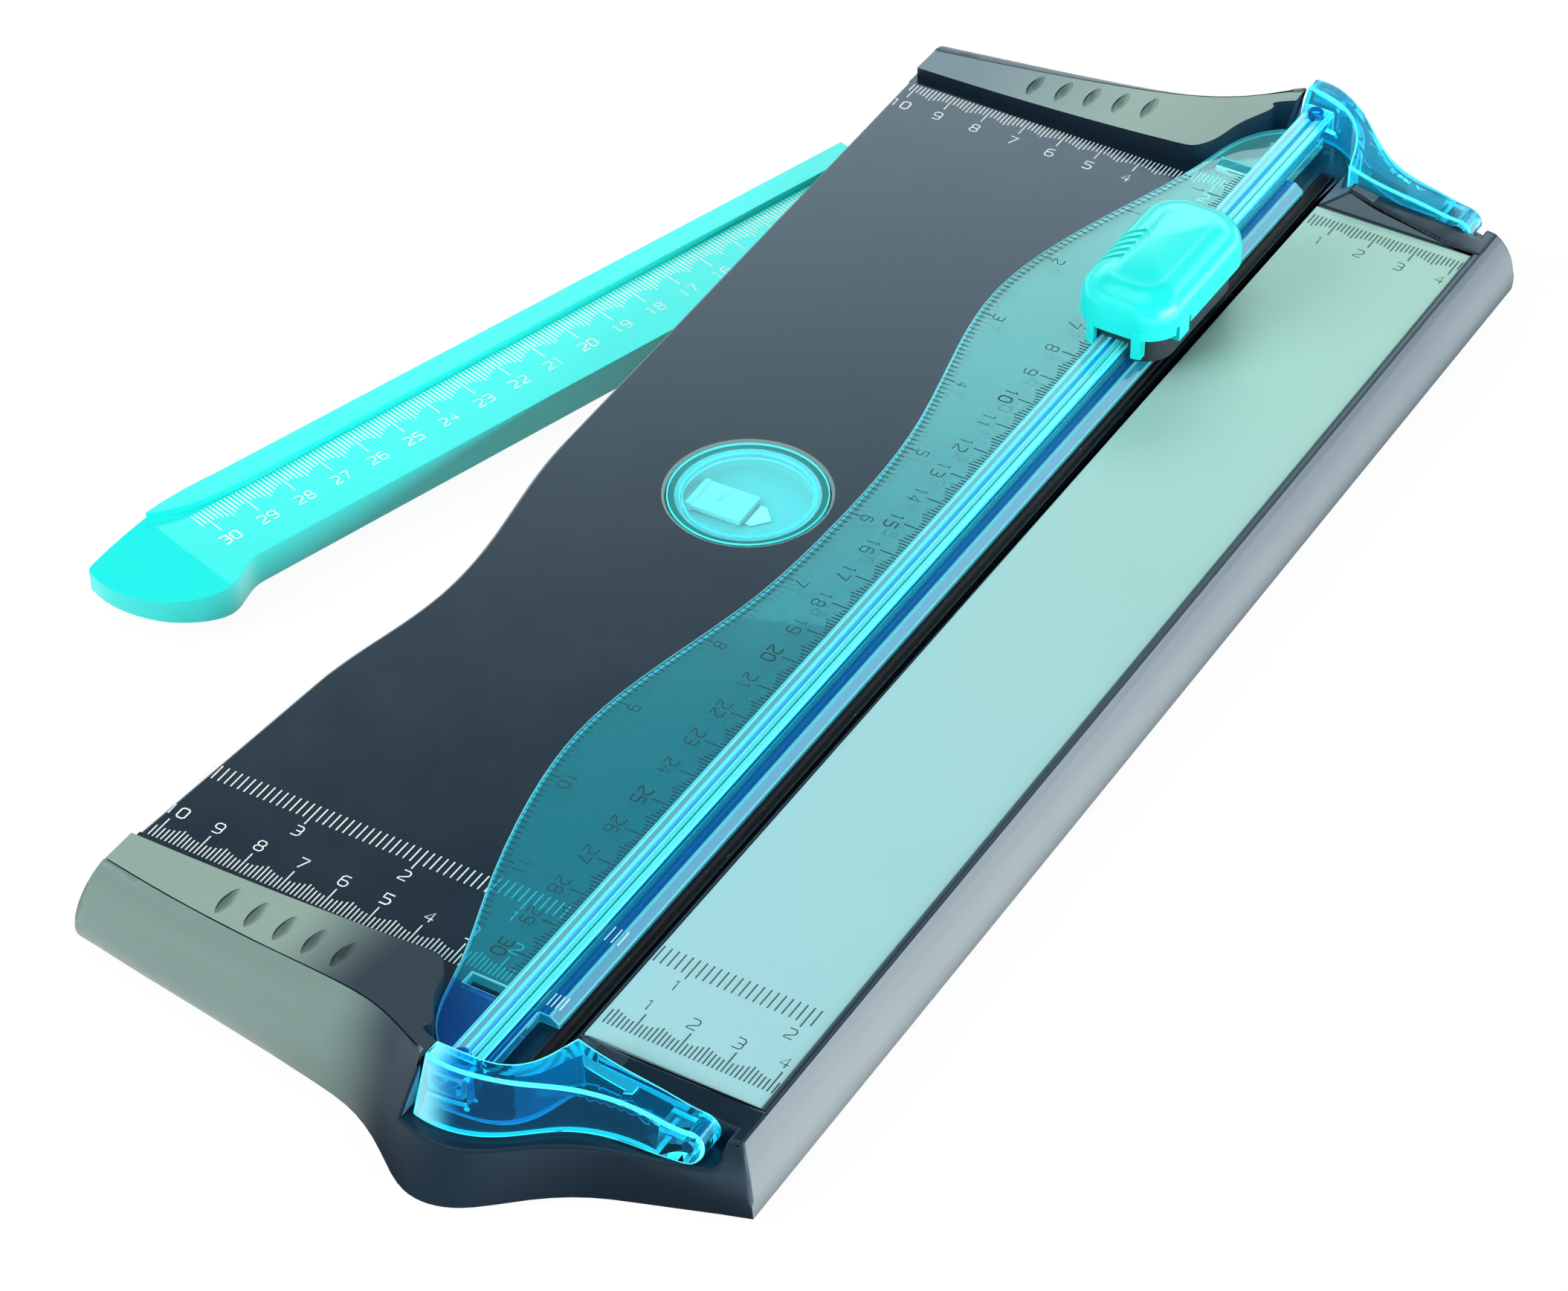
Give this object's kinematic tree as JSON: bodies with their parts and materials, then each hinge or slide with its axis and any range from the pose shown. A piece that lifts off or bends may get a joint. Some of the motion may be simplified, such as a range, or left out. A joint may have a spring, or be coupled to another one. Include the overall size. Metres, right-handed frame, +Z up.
{
  "type": "paper trimmer",
  "caption": "Desk paper trimmer: a slate base with printed scales, a hinged clear hold-down plate and rail, a sliding press-to-cut blade and a swing-out ruler arm.",
  "frame": {"origin": "on the desk, under the middle of the cutting line", "axes": "+Z up, +Y along the cut from the front to the rear, +X from the cutting line to the pale side panel"},
  "size_m": [0.214, 0.3912, 0.037],
  "materials": {
    "slate_plastic": "satin moulded, slate blue",
    "grip_plastic": "satin moulded, slate blue",
    "under_plastic": "matt, dark",
    "pale_panel": "smooth matt, pale ice green",
    "mat_rubber": "matt black, grooved",
    "teal_clear": "clear, teal tint",
    "blue_clear": "clear, blue tint",
    "window_clear": "clear, light blue tint",
    "cyan_plastic": "satin, bright cyan",
    "tray_plastic": "satin, cyan",
    "dark_plastic": "satin, dark slate",
    "mint_plastic": "satin, pale mint",
    "pin_steel": "plain turned steel",
    "spring_steel": "drawn wire",
    "blade_steel": "ground steel",
    "foot_rubber": "matt black"
  },
  "bodies": {
    "base": {"base_shell": "slate_plastic", "bottom_cover": "under_plastic", "front_grip_cover": "grip_plastic", "rear_grip_cover": "grip_plastic", "side_panel": "pale_panel", "cutting_mat": "mat_rubber", "hinge_pins": "pin_steel", "storage_cup": "tray_plastic", "spare_blade_holder": "mint_plastic", "spare_blade": "blade_steel", "pivot_washer": "pin_steel", "pivot_screw": "pin_steel", "cover_screws": "pin_steel", "rubber_feet": "foot_rubber"},
    "rail_frame": {"hold_down_plate": "teal_clear", "slide_rail": "blue_clear", "rail_pegs": "blue_clear", "front_arm": "blue_clear", "rear_arm": "blue_clear"},
    "slider": {"slider_carriage": "dark_plastic", "cap_spring": "spring_steel"},
    "press_cap": {"slider_cap": "cyan_plastic", "blade_holder": "mint_plastic", "blade": "blade_steel"},
    "ruler": {"swing_arm": "cyan_plastic"},
    "window": {"storage_lid": "window_clear"}
  },
  "joints": [
    {"name": "frame_hinge", "type": "hinge", "parent": "base", "child": "rail_frame", "pos_m": [0.0345, 0, 0.0152], "axis": [0, 1, 0], "range_deg": [0, 50]},
    {"name": "slider_slide", "type": "slide", "parent": "rail_frame", "child": "slider", "axis": [0, 1, 0], "range_m": [-0.2438, 0.0482]},
    {"name": "cap_press", "type": "slide", "parent": "slider", "child": "press_cap", "axis": [0, 0, 1], "range_m": [-0.0023, 0], "stiffness_N_per_m": 500, "springref_m": 0.002, "deforming": ["cap_spring"]},
    {"name": "ruler_swing", "type": "hinge", "parent": "base", "child": "ruler", "pos_m": [-0.0825, 0.14385, 0.008], "axis": [0, 0, 1], "range_deg": [-73.25, 16.75]},
    {"name": "window_lift", "type": "slide", "parent": "base", "child": "window", "axis": [0, 0, 1], "range_m": [0, 0.012]}
  ]
}
